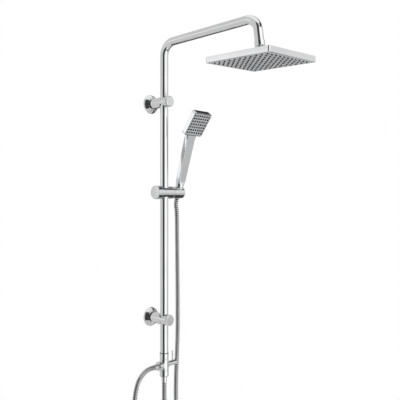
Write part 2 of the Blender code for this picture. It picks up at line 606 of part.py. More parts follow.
# the hand shower's hose, 1.5 m long: down from the handset, round a hanging loop, back up to
# the diverter
LOOP_X0, LOOP_X1, LOOP_Z = -0.1160, 0.0505, -0.4834
LOOP_R = (LOOP_X1 - LOOP_X0) / 2
hose_top = PIVOT + HAND_UP * -0.0193
HOSE_WAY = [hose_top, hose_top - HAND_UP * 0.014]
HOSE_WAY += [Vector((x, RY - w, z)) for x, w, z in (
    (0.0628, -0.0112, 0.318), (0.0650, -0.0125, 0.270), (0.0660, -0.0120, 0.170),
    (0.0662, -0.0107, 0.050), (0.0656, -0.0104, -0.050), (0.0650, -0.0134, -0.125),
    (0.0645, -0.0160, -0.185), (0.0634, -0.0158, -0.250), (0.0600, -0.0085, -0.330),
    (0.0545, 0.0035, -0.410))]
HOSE_WAY += [Vector(((LOOP_X0 + LOOP_X1) / 2 + LOOP_R * math.cos(t), RY - 0.0150 - 0.0060 * math.sin(t),
                     LOOP_Z - LOOP_R * math.sin(t))) for t in (math.radians(a) for a in range(0, 181, 30))]
HOSE_WAY += [Vector((x, RY - w, z)) for x, w, z in (
    (-0.1163, 0.0080, -0.400), (-0.1162, 0.0030, -0.310), (-0.1150, 0.0, -0.235), (-0.1100, 0.0, -0.190),
    (-0.0985, 0.0, -0.1610), (-0.0800, 0.0, -0.1440), (-0.0620, 0.0, -0.1366), (-0.0500, 0.0, -0.1360),
    (-0.0412, 0.0, -0.1360))]


def smooth_way(points, per=12):
    """A centripetal Catmull-Rom curve through the points."""
    pts = [points[0] * 2 - points[1]] + list(points) + [points[-1] * 2 - points[-2]]
    out_pts = []
    for p0, p1, p2, p3 in zip(pts, pts[1:], pts[2:], pts[3:]):
        t0 = 0.0
        t1 = t0 + (p1 - p0).length ** 0.5
        t2 = t1 + (p2 - p1).length ** 0.5
        t3 = t2 + (p3 - p2).length ** 0.5
        for i in range(per):
            t = t1 + (t2 - t1) * i / per
            a1 = p0 * ((t1 - t) / (t1 - t0)) + p1 * ((t - t0) / (t1 - t0))
            a2 = p1 * ((t2 - t) / (t2 - t1)) + p2 * ((t - t1) / (t2 - t1))
            a3 = p2 * ((t3 - t) / (t3 - t2)) + p3 * ((t - t2) / (t3 - t2))
            b1 = a1 * ((t2 - t) / (t2 - t0)) + a2 * ((t - t0) / (t2 - t0))
            b2 = a2 * ((t3 - t) / (t3 - t1)) + a3 * ((t - t1) / (t3 - t1))
            out_pts.append(b1 * ((t2 - t) / (t2 - t1)) + b2 * ((t - t1) / (t2 - t1)))
    return out_pts + [points[-1].copy()]


def stretch_of(points, start, end, step):
    """Evenly spaced points of the part of a poly line between two lengths along it."""
    marks = [0.0]
    for a, b in zip(points, points[1:]):
        marks.append(marks[-1] + (b - a).length)
    count = max(2, round((end - start) / step) + 1)
    found, k = [], 0
    for i in range(count):
        s = start + (end - start) * i / (count - 1)
        while k < len(marks) - 2 and marks[k + 1] < s:
            k += 1
        f = (s - marks[k]) / (marks[k + 1] - marks[k])
        found.append(points[k].lerp(points[k + 1], f))
    return found


way = smooth_way(HOSE_WAY)
whole = sum((b - a).length for a, b in zip(way, way[1:]))
print("hose length", round(whole, 4), "lowest", round(min(p.z for p in way), 4))
for name, start, end, step in (
        ("handset_hose_top", 0.0, HOSE_TOP_PART - GAP, 0.018),
        ("handset_hose_middle", HOSE_TOP_PART, HOSE_TOP_PART + HOSE_MID_PART - GAP, 0.030),
        ("handset_hose_loop", HOSE_TOP_PART + HOSE_MID_PART, whole, 0.028)):
    hose(name, stretch_of(way, start, end, step))

bpy.context.view_layer.update()
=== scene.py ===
"""Rainfall shower column: the visual model, built around its CAD frame.

Every visible piece is built here in fine mesh and stands for its CAD node. Pieces hidden inside
keep their CAD meshes and get their own materials. Metres; X right, -Y out of the wall, Z up.
"""
import json
import math

import bmesh
import bpy
from mathutils import Matrix, Vector


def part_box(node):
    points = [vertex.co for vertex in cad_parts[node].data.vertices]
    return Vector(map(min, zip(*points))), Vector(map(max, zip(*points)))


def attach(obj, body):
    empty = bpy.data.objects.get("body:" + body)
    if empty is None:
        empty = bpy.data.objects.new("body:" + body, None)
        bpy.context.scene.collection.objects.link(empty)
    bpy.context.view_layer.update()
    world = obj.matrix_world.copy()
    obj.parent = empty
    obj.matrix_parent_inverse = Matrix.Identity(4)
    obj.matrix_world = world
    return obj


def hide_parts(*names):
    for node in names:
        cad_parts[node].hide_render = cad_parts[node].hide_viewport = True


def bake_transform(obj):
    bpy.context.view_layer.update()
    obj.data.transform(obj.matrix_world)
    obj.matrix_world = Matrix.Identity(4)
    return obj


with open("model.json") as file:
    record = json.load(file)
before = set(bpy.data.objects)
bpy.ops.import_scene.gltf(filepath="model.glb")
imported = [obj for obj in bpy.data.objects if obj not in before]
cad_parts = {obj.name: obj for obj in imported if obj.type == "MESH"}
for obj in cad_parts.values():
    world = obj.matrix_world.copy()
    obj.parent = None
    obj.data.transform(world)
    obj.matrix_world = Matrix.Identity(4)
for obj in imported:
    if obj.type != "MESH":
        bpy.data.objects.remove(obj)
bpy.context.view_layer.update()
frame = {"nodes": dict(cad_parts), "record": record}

# ---------------------------------------------------------------- places taken from the frame
RECORD = frame["record"]
BODY_OF = {node: body for body, nodes in RECORD["behaviour"]["bodies"].items() for node in nodes}
SLOT_OF = {part["node"]: part["material_slot"] for part in RECORD["subparts"]}
JOINT_AT = {joint["name"]: Vector(joint["pos_m"])
            for joint in RECORD["behaviour"]["joints"] if "pos_m" in joint}


def middle(node):
    """The middle of a CAD node's box."""
    low, high = (Vector(corner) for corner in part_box(node))
    return (low + high) / 2


RY = middle("diverter_collar").y               # the riser's axis in front of the wall
UPPER_Z = middle("wall_flange_upper").z
BALL = JOINT_AT["head_turn"]
SLIDER_Z = JOINT_AT["holder_tilt"].z
DIV_Z = JOINT_AT["diverter_turn"].z
SUPPLY_TOP, SUPPLY_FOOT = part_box("supply_hose")[1][2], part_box("supply_hose")[0][2]

# ---------------------------------------------------------------- sizes that the CAD part shares
GAP = 0.0003                                   # between pieces that fit into each other
RISER_R, RISER_FOOT_Z = 0.012, -0.1162
ARM_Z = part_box("riser_pipe")[1][2] - RISER_R   # the arm's centreline
ARM_REACH, BEND_R, PIPE_END = 0.348, 0.038, 0.0226     # PIPE_END: the pipe's end above the ball
DOWN_LEAN = math.radians(7.9)                  # the down pipe's lean off the vertical
POST_R, POST_FRONT, POST_BACK, CAP_T = 0.016, 0.0834, 0.0043, 0.0046
FLANGE_R, FLANGE_D = 0.0285, 0.0150            # a wall flange's radius and depth
FLANGE_EDGE = 0.0025                           # the height of that flange's rim
FLANGE_TURN = math.radians(-28)                # how far that flange's dome bends
MOAT = 0.0034                                  # width of the groove between dome and post
HEAD_SIDE, HEAD_T, HEAD_DROP = 0.1997, 0.0153, 0.0103
HEAD_CORNER, HEAD_RIM = 0.0045, 0.0026         # the rain head's corner radius and rim width
HEAD_ROLL, HEAD_PITCH = math.radians(3.2), math.radians(2.1)
SOCKET_R = 0.0116                              # the ball's seat in the rain head
RAIN_GRID, RAIN_PITCH = 11, 0.0166
SLIDER_R, KNOB_R, KNOB_FACE = 0.0185, 0.020, -0.037
SLIDER_X0, SLIDER_X1, SLIDER_BORE_R = -0.0183, 0.0275, 0.0137
BARREL_R, BARREL_X0, BARREL_X1, HOLD_X = 0.0175, 0.0291, 0.074, 0.058
SLOT_WIDE = 0.0156                             # the holder's slot, through which a hose goes
HOLD_TILT, HAND_TILT = math.radians(17.0), math.radians(37.2)
HAND_W, HAND_L, HAND_T = 0.0705, 0.0764, 0.0162
HAND_CORNER, HAND_RIM = 0.0052, 0.0026
HAND_FACE_OUT, HAND_FACE_UP = 0.0859, 0.1992   # the face's middle from the holder's pivot
HAND_GRID, HAND_PITCH = 7, 0.0094
NUT_LOW, NUT_HIGH, NUT_R0, NUT_R1 = -0.015, 0.019, 0.0105, 0.0125
DIV_R, DIV_HANDLE_R, DIV_HANDLE_END = 0.0132, 0.0075, 0.050
COLLAR_LOW, COLLAR_TOP = 0.0198, 0.0370        # the diverter's collar, above its cross
LEVER_X, LEVER_R, LEVER_TIP = 0.034, 0.0025, 0.0367
HOSE_R, HOSE_TOP_PART, HOSE_MID_PART = 0.007, 0.090, 0.15
UNION_R, TAIL_R = 0.0133, 0.0079               # a union nut outside, and its hole for the tail
THREAD_R = 0.0108                              # a union nut's thread
BORE_R, NECK_R, HEEL_R = 0.0052, 0.0076, 0.0103        # a hose sleeve: bore, neck and heel

HAND_UP = Vector((0, -math.sin(HOLD_TILT), math.cos(HOLD_TILT)))
HAND_FRONT = Vector((0, -math.cos(HOLD_TILT), -math.sin(HOLD_TILT)))
DOWN_UP = Vector((0, math.sin(DOWN_LEAN), math.cos(DOWN_LEAN)))
PIVOT = Vector((HOLD_X, RY, SLIDER_Z))
FACE = PIVOT + Vector((0, -HAND_FACE_OUT, HAND_FACE_UP))
FACE_UP = Vector((0, -math.sin(HAND_TILT), math.cos(HAND_TILT)))
FACE_OUT = Vector((0, -math.cos(HAND_TILT), -math.sin(HAND_TILT)))


def along(origin, axis, front=None):
    """A placement whose local Z lies on axis, and whose local Y lies near front."""
    z = Vector(axis).normalized()
    y = Vector(front) if front is not None else (
        Vector((0, 0, 1)) if abs(z.z) < 0.9 else Vector((0, 1, 0)))
    x = y.cross(z).normalized()
    place = Matrix((x, z.cross(x), z)).transposed().to_4x4()
    place.translation = Vector(origin)
    return place


DOWN = along(BALL, DOWN_UP, (1, 0, 0))
HEAD = (Matrix.Translation(BALL) @ Matrix.Rotation(-HEAD_ROLL, 4, "Y")
        @ Matrix.Rotation(HEAD_PITCH, 4, "X"))
RIGHT = along((0, RY, SLIDER_Z), (1, 0, 0), (0, 0, 1))
HAND = along(PIVOT, HAND_UP, HAND_FRONT)
HAND_FACE = along(FACE, FACE_OUT, FACE_UP)
RAIN_FACE = HEAD @ Matrix.Translation((0, 0, -HEAD_DROP - HEAD_T)) @ Matrix.Rotation(math.pi, 4, "X")
DIV_TOP = along((0, RY, DIV_Z), (0, 0, 1), (0, -1, 0))
DIV_SIDE = along((0, RY, DIV_Z), (1, 0, 0), (0, 0, 1))
SUPPLY_END = along((0, RY, SUPPLY_FOOT), (0, 0, -1), (0, -1, 0))

# ---------------------------------------------------------------- mesh building
STEPS = 96                   # facets round a turned piece
RISER_SIDES = 72             # facets round the riser
ARC_POINTS = 24              # points along a flange's dome
FILLET = 0.0005              # usual edge rounding
LEAST_TURN = math.radians(14)        # a corner that turns by less than this isn't rounded
SEAM = 0.0024                # dark gap round the riser where it passes through a post
CLEAR = 0.03                 # far enough past a piece for a cut to go right through it
WELD = 0.000002              # points nearer than this are made one after a cut
TINY = 1e-6                  # a radius that counts as lying on the axis
SMOOTH_ANGLE, CUT_ANGLE = 42, 32     # sharper edges than this stay sharp, as made and after a cut


def add_mesh(name, bm, place=None, flat=False):
    """Turns a bmesh into an object in the row frame, smooth over its small fillets."""
    bmesh.ops.recalc_face_normals(bm, faces=bm.faces)
    mesh = bpy.data.meshes.new(name)
    bm.to_mesh(mesh)
    bm.free()
    if place is not None:
        mesh.transform(place)
    ob = bpy.data.objects.new(name, mesh)
    bpy.context.scene.collection.objects.link(ob)
    if not flat:
        soften(ob)
    return ob


def soften(ob, angle=SMOOTH_ANGLE):
    """Smooth shading, but for edges that turn by more than an angle in degrees."""
    ob.data.shade_smooth()
    ob.data.set_sharp_from_angle(angle=math.radians(angle))
    weighted = ob.modifiers.new("weighted_normals", "WEIGHTED_NORMAL")
    weighted.keep_sharp = True
    return ob


def rounded(outline, radius, closed):
    """The outline with each of its corners turned into a small arc."""
    out, n = [], len(outline)
    for i, (x, y) in enumerate(outline):
        if not closed and i in (0, n - 1):
            out.append((x, y))
            continue
        here = Vector((x, y))
        before, after = Vector(outline[i - 1]) - here, Vector(outline[(i + 1) % n]) - here
        turn = math.pi - before.angle(after, math.pi)
        reach = min(radius, before.length * 0.45, after.length * 0.45)
        if turn < LEAST_TURN or reach < TINY:
            out.append((x, y))
            continue
        a, b = here + before.normalized() * reach, here + after.normalized() * reach
        for t in (0, 0.3, 0.7, 1):
            out.append(tuple(a * (1 - t) ** 2 + here * 2 * t * (1 - t) + b * t ** 2))
    return out


def skin(bm, rings, closed):
    """Faces between neighbouring rings of vertices; a ring of one vertex is a point."""
    pairs = list(zip(rings, rings[1:])) + ([(rings[-1], rings[0])] if closed else [])
    for a, b in pairs:
        n = max(len(a), len(b))
        for i in range(n):
            j = (i + 1) % n
            if len(a) == 1:
                bm.faces.new((a[0], b[j], b[i]))
            elif len(b) == 1:
                bm.faces.new((a[i], a[j], b[0]))
            else:
                bm.faces.new((a[i], a[j], b[j], b[i]))


def lathe(name, outline, place, steps=STEPS, fillet=FILLET):
    """A turned piece from (radius, height) points. One that starts on the axis has no bore."""
    closed = outline[0][0] > TINY
    bm = bmesh.new()
    rings = []
    for r, h in rounded(outline, fillet, closed):
        if r < TINY:
            rings.append([bm.verts.new((0, 0, h))])
        else:
            rings.append([bm.verts.new((r * math.cos(t), r * math.sin(t), h))
                          for t in (2 * math.pi * i / steps for i in range(steps))])
    skin(bm, rings, closed)
    return add_mesh(name, bm, place)


def arc(start, end, turn, n):
    """Points from start to end on a circle that turns through an angle, to the left if positive."""
    a, b = Vector(start), Vector(end)
    chord = b - a
    centre = (a + b) / 2 + Vector((-chord.y, chord.x)) / (2 * math.tan(turn / 2))
    spoke = a - centre
    return [tuple(centre + Matrix.Rotation(turn * i / (n - 1), 2) @ spoke) for i in range(n)]


def disc_outline(r, h0, h1):
    """A plain cylinder between two heights, as an outline for lathe."""
    return [(0, h1), (r, h1), (r, h0), (0, h0)]


def zone(r, a0, a1, n):
    """Points on a circle about the origin between two angles, for a ball or its socket."""
    return [(r * math.cos(t), r * math.sin(t))
            for t in (math.radians(a0 + (a1 - a0) * i / (n - 1)) for i in range(n))]


def rectangle(wide, high, corner, per=8):
    """Points of a rectangle with rounded corners, round its centre."""
    out = []
    for k, (sx, sy) in enumerate(((1, 1), (-1, 1), (-1, -1), (1, -1))):
        for i in range(per + 1):
            t = math.pi / 2 * (k + i / per)
            out.append((sx * (wide / 2 - corner) + corner * math.cos(t),
                        sy * (high / 2 - corner) + corner * math.sin(t)))
    return out


def tray(name, wide, high, corner, outline, place, fillet=0.0007):
    """A rounded rectangle's version of a turned piece, from (inset, height) points."""
    bm = bmesh.new()
    rings = []
    for inset, h in rounded(outline, fillet, False):
        r = max(corner - inset, 0.0006)
        rings.append([bm.verts.new((x, y, h))
                      for x, y in rectangle(wide - 2 * inset, high - 2 * inset, r)])
    skin(bm, rings, False)
    bm.faces.new(rings[0])
    bm.faces.new(rings[-1][::-1])
    return add_mesh(name, bm, place)


def combine(ob, others, how="DIFFERENCE"):
    """Cuts other solids out of ob, or joins them on, for good."""
    ob.modifiers.clear()
    for other in others:
        mod = ob.modifiers.new("solid", "BOOLEAN")
        mod.operation, mod.solver, mod.object = how, "EXACT", other
    bpy.context.view_layer.update()
    made = bpy.data.meshes.new_from_object(ob.evaluated_get(bpy.context.evaluated_depsgraph_get()))
    ob.modifiers.clear()
    ob.data = made
    for other in others:
        bpy.data.objects.remove(other, do_unlink=True)
    bm = bmesh.new()
    bm.from_mesh(made)
    bmesh.ops.remove_doubles(bm, verts=bm.verts, dist=WELD)
    bmesh.ops.dissolve_degenerate(bm, edges=bm.edges, dist=WELD)
    bm.to_mesh(made)
    bm.free()
    return soften(ob, CUT_ANGLE)


def sweep(name, path, radii, sides, capped=True):
    """A round tube along a path, with a radius at each point."""
    bm = bmesh.new()
    rings = []
    tangent = (path[1] - path[0]).normalized()
    normal = tangent.orthogonal().normalized()
    for i, at in enumerate(path):
        ahead = (path[min(i + 1, len(path) - 1)] - path[max(i - 1, 0)]).normalized()
        normal = tangent.rotation_difference(ahead) @ normal
        normal = (normal - ahead * normal.dot(ahead)).normalized()
        tangent = ahead
        across = tangent.cross(normal)
        rings.append([bm.verts.new(at + (normal * math.cos(t) + across * math.sin(t)) * radii[i])
                      for t in (2 * math.pi * k / sides for k in range(sides))])
    skin(bm, rings, False)
    if capped:
        bm.faces.new(rings[0])
        bm.faces.new(rings[-1][::-1])
    return add_mesh(name, bm)


# ---------------------------------------------------------------- materials
def new_material(name, colour, rough, metal):
    """A Principled material and its node tree, with constant values on its own sockets."""
    mat = bpy.data.materials.new(name)
    mat.use_nodes = True
    shader = mat.node_tree.nodes["Principled BSDF"]
    shader.inputs["Base Color"].default_value = (*colour, 1)
    shader.inputs["Roughness"].default_value = rough
    shader.inputs["Metallic"].default_value = metal
    return mat, mat.node_tree, shader


def object_noise(tree, scale, detail=3.0, stretch=None):
    """Noise in the piece's own coordinates."""
    where = tree.nodes.new("ShaderNodeTexCoord")
    noise = tree.nodes.new("ShaderNodeTexNoise")
    noise.inputs["Scale"].default_value = scale
    noise.inputs["Detail"].default_value = detail
    source = where.outputs["Object"]
    if stretch:
        mapping = tree.nodes.new("ShaderNodeMapping")
        mapping.inputs["Scale"].default_value = stretch
        tree.links.new(source, mapping.inputs["Vector"])
        source = mapping.outputs["Vector"]
    tree.links.new(source, noise.inputs["Vector"])
    return noise.outputs["Fac"]


def spread(tree, value, low, high, start=0.35, end=0.65):
    """Maps a noise value onto a range."""
    node = tree.nodes.new("ShaderNodeMapRange")
    node.inputs["From Min"].default_value = start
    node.inputs["From Max"].default_value = end
    node.inputs["To Min"].default_value = low
    node.inputs["To Max"].default_value = high
    tree.links.new(value, node.inputs["Value"])
    return node.outputs["Result"]


def tint(tree, value, low, high):
    """Runs between two colours as a noise value changes."""
    ramp = tree.nodes.new("ShaderNodeValToRGB")
    ramp.color_ramp.elements[0].position, ramp.color_ramp.elements[0].color = 0.35, (*low, 1)
    ramp.color_ramp.elements[1].position, ramp.color_ramp.elements[1].color = 0.65, (*high, 1)
    tree.links.new(value, ramp.inputs["Fac"])
    return ramp.outputs["Color"]


def bump(tree, shader, value, strength, distance):
    """Small unevenness, which only bends the light."""
    node = tree.nodes.new("ShaderNodeBump")
    node.inputs["Strength"].default_value = strength
    node.inputs["Distance"].default_value = distance
    tree.links.new(value, node.inputs["Height"])
    tree.links.new(node.outputs["Normal"], shader.inputs["Normal"])


def textured(name, low, high, rough, metal, grain, scale, strength=0.05, distance=0.0002,
             stretch=None, detail=3.0):
    """A surface whose colour drifts between two shades and whose gloss and height vary."""
    mat, tree, shader = new_material(name, high, rough[0], metal)
    drift = object_noise(tree, scale, 2.0)
    fine = object_noise(tree, grain, detail, stretch)
    tree.links.new(tint(tree, drift, low, high), shader.inputs["Base Color"])
    tree.links.new(spread(tree, fine, *rough), shader.inputs["Roughness"])
    bump(tree, shader, fine, strength, distance)
    return mat


CHROME = textured("chrome_plate", (0.84, 0.845, 0.855), (0.88, 0.885, 0.89), (0.035, 0.075), 1.0,
                  grain=900, scale=18, strength=0.012, distance=0.0001)
CHROME_PLASTIC = textured("chrome_on_plastic", (0.84, 0.845, 0.86), (0.88, 0.885, 0.895),
                          (0.04, 0.08), 1.0, grain=700, scale=14, strength=0.014, distance=0.0001)
HOSE_STEEL = textured("wound_steel", (0.80, 0.80, 0.81), (0.87, 0.87, 0.88), (0.03, 0.08), 1.0,
                      grain=2600, scale=160, strength=0.10, distance=0.0001)
# near-black steel for the grooves between a hose's turns: painted shade, not the steel's own colour
HOSE_GROOVE_SHADE = textured("wound_steel_groove_painted_shade", (0.035, 0.035, 0.037), (0.07, 0.07, 0.072),
                       (0.45, 0.60), 0.6, grain=2600, scale=160, strength=0.10, distance=0.0001)
ZINC = textured("zinc_plated_steel", (0.52, 0.53, 0.55), (0.66, 0.66, 0.64), (0.28, 0.42), 1.0,
                grain=1800, scale=90, strength=0.15)
BRASS = textured("machined_brass", (0.58, 0.43, 0.20), (0.70, 0.54, 0.28), (0.20, 0.34), 1.0,
                 grain=1400, scale=60, strength=0.10, stretch=(1, 1, 12))
FACE_GREY = textured("satin_grey_face", (0.78, 0.79, 0.81), (0.84, 0.85, 0.87), (0.30, 0.40),
                     0.15, grain=2400, scale=30, strength=0.06, distance=0.0001)
SILICONE = textured("black_silicone", (0.008, 0.008, 0.009), (0.018, 0.018, 0.019), (0.42, 0.58),
                    0.0, grain=2200, scale=200, strength=0.10)
RUBBER = textured("black_rubber", (0.020, 0.020, 0.021), (0.038, 0.038, 0.038), (0.60, 0.78), 0.0,
                  grain=1500, scale=120, strength=0.20)
ACETAL = textured("white_acetal", (0.80, 0.80, 0.77), (0.88, 0.88, 0.85), (0.34, 0.46), 0.0,
                  grain=1300, scale=80, strength=0.08)
CERAMIC = textured("valve_ceramic", (0.82, 0.81, 0.78), (0.91, 0.90, 0.87), (0.16, 0.26), 0.0,
                   grain=1700, scale=70, strength=0.05)
FLOOR_PAINT = textured("pale_floor", (0.945, 0.945, 0.94), (0.96, 0.96, 0.955), (0.55, 0.68), 0.0,
                       grain=60, scale=3, strength=0.05, distance=0.0005)

MATERIAL_OF_SLOT = {
    "chrome_metal": CHROME, "chrome_on_abs": CHROME_PLASTIC, "zinc_steel": ZINC, "brass": BRASS,
    "hose_steel": HOSE_STEEL, "satin_grey_abs": FACE_GREY, "black_silicone": SILICONE,
    "black_rubber": RUBBER, "white_acetal": ACETAL, "valve_ceramic": CERAMIC}


def paint(ob, mat):
    """One material for the whole object."""
    ob.data.materials.clear()
    ob.data.materials.append(mat)


def stand_for(ob, node, bodies=None):
    """ob takes the place and the finish of one CAD node, and its movement unless bodies are given."""
    paint(ob, MATERIAL_OF_SLOT[SLOT_OF[node]])
    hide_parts(node)
    if bodies:
        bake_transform(ob)
    else:
        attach(ob, BODY_OF[node])
    return ob


def bend(corner, arrive, leave, radius, count=28):
    """Points round a corner between two directions."""
    arrive, leave = Vector(arrive).normalized(), Vector(leave).normalized()
    half = arrive.angle(leave) / 2
    start = Vector(corner) - arrive * radius * math.tan(half)
    side = (leave - arrive * leave.dot(arrive)).normalized()
    centre = start + side * radius
    return [centre - side * radius * math.cos(t) + arrive * radius * math.sin(t)
            for t in (2 * half * i / (count - 1) for i in range(count))]


# ---------------------------------------------------------------- riser, arm and wall brackets
def riser_path():
    """The centreline of the riser, the arm and the down pipe, which are one bent tube."""
    corner_top = Vector((0, RY, ARM_Z))
    corner_out = Vector((0, RY - ARM_REACH, ARM_Z))
    pts = [Vector((0, RY, RISER_FOOT_Z)), Vector((0, RY, 0.3))]
    pts += bend(corner_top, (0, 0, 1), (0, -1, 0), BEND_R)
    pts += bend(corner_out, (0, -1, 0), -DOWN_UP, BEND_R)
    pts.append(BALL + DOWN_UP * PIPE_END)
    return pts


def build_riser():
    path = riser_path()
    tube = sweep("riser_tube", path, [RISER_R] * len(path), RISER_SIDES)
    stand_for(tube, "riser_pipe")


def build_bracket(where, z):
    """A wall bracket: the domed flange, the post and its end cap."""
    out = along((0, 0, z), (0, -1, 0), (0, 0, 1))
    mouth, inner = POST_R + MOAT, POST_R + MOAT + 0.0010     # the dome's inner edge, both faces
    floor_back, floor_front = 0.0058, 0.0068                 # the bottom of the groove
    outline = arc((mouth, FLANGE_D), (FLANGE_R, FLANGE_EDGE), FLANGE_TURN, ARC_POINTS)
    outline.append((FLANGE_R, GAP))
    outline += arc((FLANGE_R - 0.0014, GAP), (inner, FLANGE_D - 0.0022), -FLANGE_TURN, ARC_POINTS)
    outline += [(inner, floor_back), (POST_R + GAP, floor_back), (POST_R + GAP, floor_front),
                (mouth, floor_front)]
    stand_for(lathe("domed_flange_" + where, outline, out), "wall_flange_" + where)
    post = lathe("post_" + where, disc_outline(POST_R, POST_BACK, POST_FRONT), out)
    tunnel = lathe("post_tunnel", disc_outline(RISER_R + SEAM, -CLEAR, CLEAR),
                   along((0, RY, z), (0, 0, 1)))
    stand_for(combine(post, [tunnel]), "bracket_post_" + where)
    face = POST_FRONT + GAP + CAP_T
    cap = lathe("end_cap_" + where, [
        (0, face), (POST_R - 0.0016, face), (POST_R, face - 0.0014), (POST_R, POST_FRONT + GAP),
        (0, POST_FRONT + GAP)], out, fillet=0.0009)
    stand_for(cap, "bracket_end_cap_" + where)


# ---------------------------------------------------------------- rain head
def build_neck():
    """The union nut at the arm's end and the ball joint's collar under it."""
    outer, sleeve, bore = 0.0135, RISER_R + GAP, 0.0055
    top, shelf, foot = 0.0310, 0.0177, 0.0155                # heights above the ball
    nut = lathe("union_nut", [(sleeve, top), (outer, top), (outer, foot), (bore, foot),
                              (bore, shelf), (sleeve, shelf)], DOWN, fillet=0.0007)
    stand_for(nut, "arm_union_nut")
    collar = [(0.0093, 0.0105), (0.0102, 0.0105), (0.0112, 0.0098), (0.0160, 0.0010),
              (0.0175, -0.0016), (0.0175, -0.0095), (0.0153, -0.0095), (0.0153, -0.0007)]
    collar += zone(SOCKET_R, -3.4, 46.4, 9)          # the collar's own part of the ball's seat
    stand_for(lathe("collar_dome", collar, HEAD, fillet=0.0009), "ball_collar")


def build_rain_head():
    """The square shell with its rim, and the boss that holds the ball."""
    top = -HEAD_DROP
    shell = tray("rain_shell", HEAD_SIDE, HEAD_SIDE, HEAD_CORNER, [
        (0.0, top), (0.0, top - HEAD_T), (HEAD_RIM, top - HEAD_T), (HEAD_RIM, top - 0.0022)],
        HEAD, fillet=0.0014)
    boss = lathe("rain_boss", disc_outline(0.0150, top - 0.0060, -0.0010), HEAD)
    shell = combine(shell, [boss], "UNION")
    socket = [(0, SOCKET_R)] + zone(SOCKET_R, 80, -80, 24) + [(0, -SOCKET_R)]
    waterway_r = 0.0045
    combine(shell, [lathe("rain_socket", socket, HEAD),
                    lathe("rain_waterway", disc_outline(waterway_r, top - 0.02, 0), HEAD)])
    stand_for(shell, "rain_head_shell")


# ---------------------------------------------------------------- spray faces
CELL_POINTS = 24             # facets round each hole or nozzle
FACE_SUNK, FACE_BACK = -0.0004, -0.0019        # front and back of a face plate
MAT_FRONT, MAT_BACK = -0.0022, -0.0034         # front and back of the mat behind it
MAT_CORNER = 0.0012          # the mat's corner radius, and how much smaller than the face it is


def cell_square(half):
    """Where rays from a cell's centre meet its square edge."""
    out = []
    for k in range(CELL_POINTS):
        t = 2 * math.pi * k / CELL_POINTS
        reach = half / max(abs(math.cos(t)), abs(math.sin(t)))
        out.append((reach * math.cos(t), reach * math.sin(t)))
    return out


def spray_plate(name, wide, high, corner, count, pitch, outline, back, place):
    """A plate of square cells, each with the same small turned outline at its centre.

    outline holds (radius, height) points from the plate's face inwards. One that ends on the
    back's height is a hole right through, and one that ends on the axis is a nozzle.
    """
    bm = bmesh.new()
    known = {}

    def vert(x, y, h):
        key = (round(x, 6), round(y, 6), round(h, 6))
        if key not in known:
            known[key] = bm.verts.new((x, y, h))
        return known[key]

    face = outline[0][1]
    pierced = outline[-1][0] > TINY
    square = cell_square(pitch / 2)
    for i in range(count):
        for j in range(count):
            cx, cy = (i - (count - 1) / 2) * pitch, (j - (count - 1) / 2) * pitch
            rings = [[vert(cx + x, cy + y, face) for x, y in square]]
            for r, h in outline:
                if r < TINY:
                    rings.append([vert(cx, cy, h)])
                else:
                    rings.append([vert(cx + r * math.cos(t), cy + r * math.sin(t), h)
                                  for t in (2 * math.pi * k / CELL_POINTS
                                            for k in range(CELL_POINTS))])
            if pierced:
                rings.append([vert(cx + x, cy + y, back) for x, y in square])
            skin(bm, rings, False)
    half = count * pitch / 2

    def border(x, y, h):
        """The plate's rounded outer edge, level with a point on the cells' edge."""
        ex, ey = x * wide / 2 / half, y * high / 2 / half
        cx, cy = wide / 2 - corner, high / 2 - corner
        if abs(ex) > cx and abs(ey) > cy:
            from_corner = Vector((abs(ex) - cx, abs(ey) - cy)).normalized() * corner
            ex = math.copysign(cx + from_corner.x, ex)
            ey = math.copysign(cy + from_corner.y, ey)
        return vert(ex, ey, h)

    steps = [math.tan(math.pi * 2 * k / CELL_POINTS) * pitch / 2
             for k in range(-CELL_POINTS // 8, CELL_POINTS // 8)]
    line = [(c - (count - 1) / 2) * pitch + s for c in range(count) for s in steps]
    rim = [(half, s) for s in line] + [(-s, half) for s in line]
    rim += [(-half, -s) for s in line] + [(s, -half) for s in line]
    face_in = [vert(x, y, face) for x, y in rim]
    face_out = [border(x, y, face) for x, y in rim]
    back_out = [border(x, y, back) for x, y in rim]
    rings = [face_in, face_out, back_out]
    if pierced:
        rings.append([vert(x, y, back) for x, y in rim])
    skin(bm, rings, False)
    if not pierced:
        bm.faces.new(back_out)
    return add_mesh(name, bm, place)


def build_spray(name, node_start, wide, high, corner, count, pitch, hole, nozzle, reach, place):
    """The grey face with its holes, and the soft mat whose nozzles stand through them.

    Heights are measured from the shell's rim, outwards: the face lies a little behind it.
    """
    lip = 0.00035            # bevel round each hole
    face = spray_plate(name + "_face", wide, high, corner, count, pitch, [
        (hole + lip, FACE_SUNK), (hole, FACE_SUNK - lip), (hole, FACE_BACK)], FACE_BACK, place)
    stand_for(face, node_start + "_face_plate")
    tip, base = nozzle
    mat = spray_plate(name + "_mat", wide - MAT_CORNER, high - MAT_CORNER, MAT_CORNER, count, pitch, [
        (base + 0.0002, MAT_FRONT), (base, MAT_FRONT + 0.0004),
        (tip + 0.0002, reach - 0.0005), (tip, reach - 0.0002), (tip - 0.0003, reach),
        (tip * 0.5, reach), (tip * 0.42, reach - 0.0003),
        (tip * 0.38, reach - 0.0012), (0, reach - 0.0013)], MAT_BACK, place)
    stand_for(mat, node_start + "_nozzle_mat")


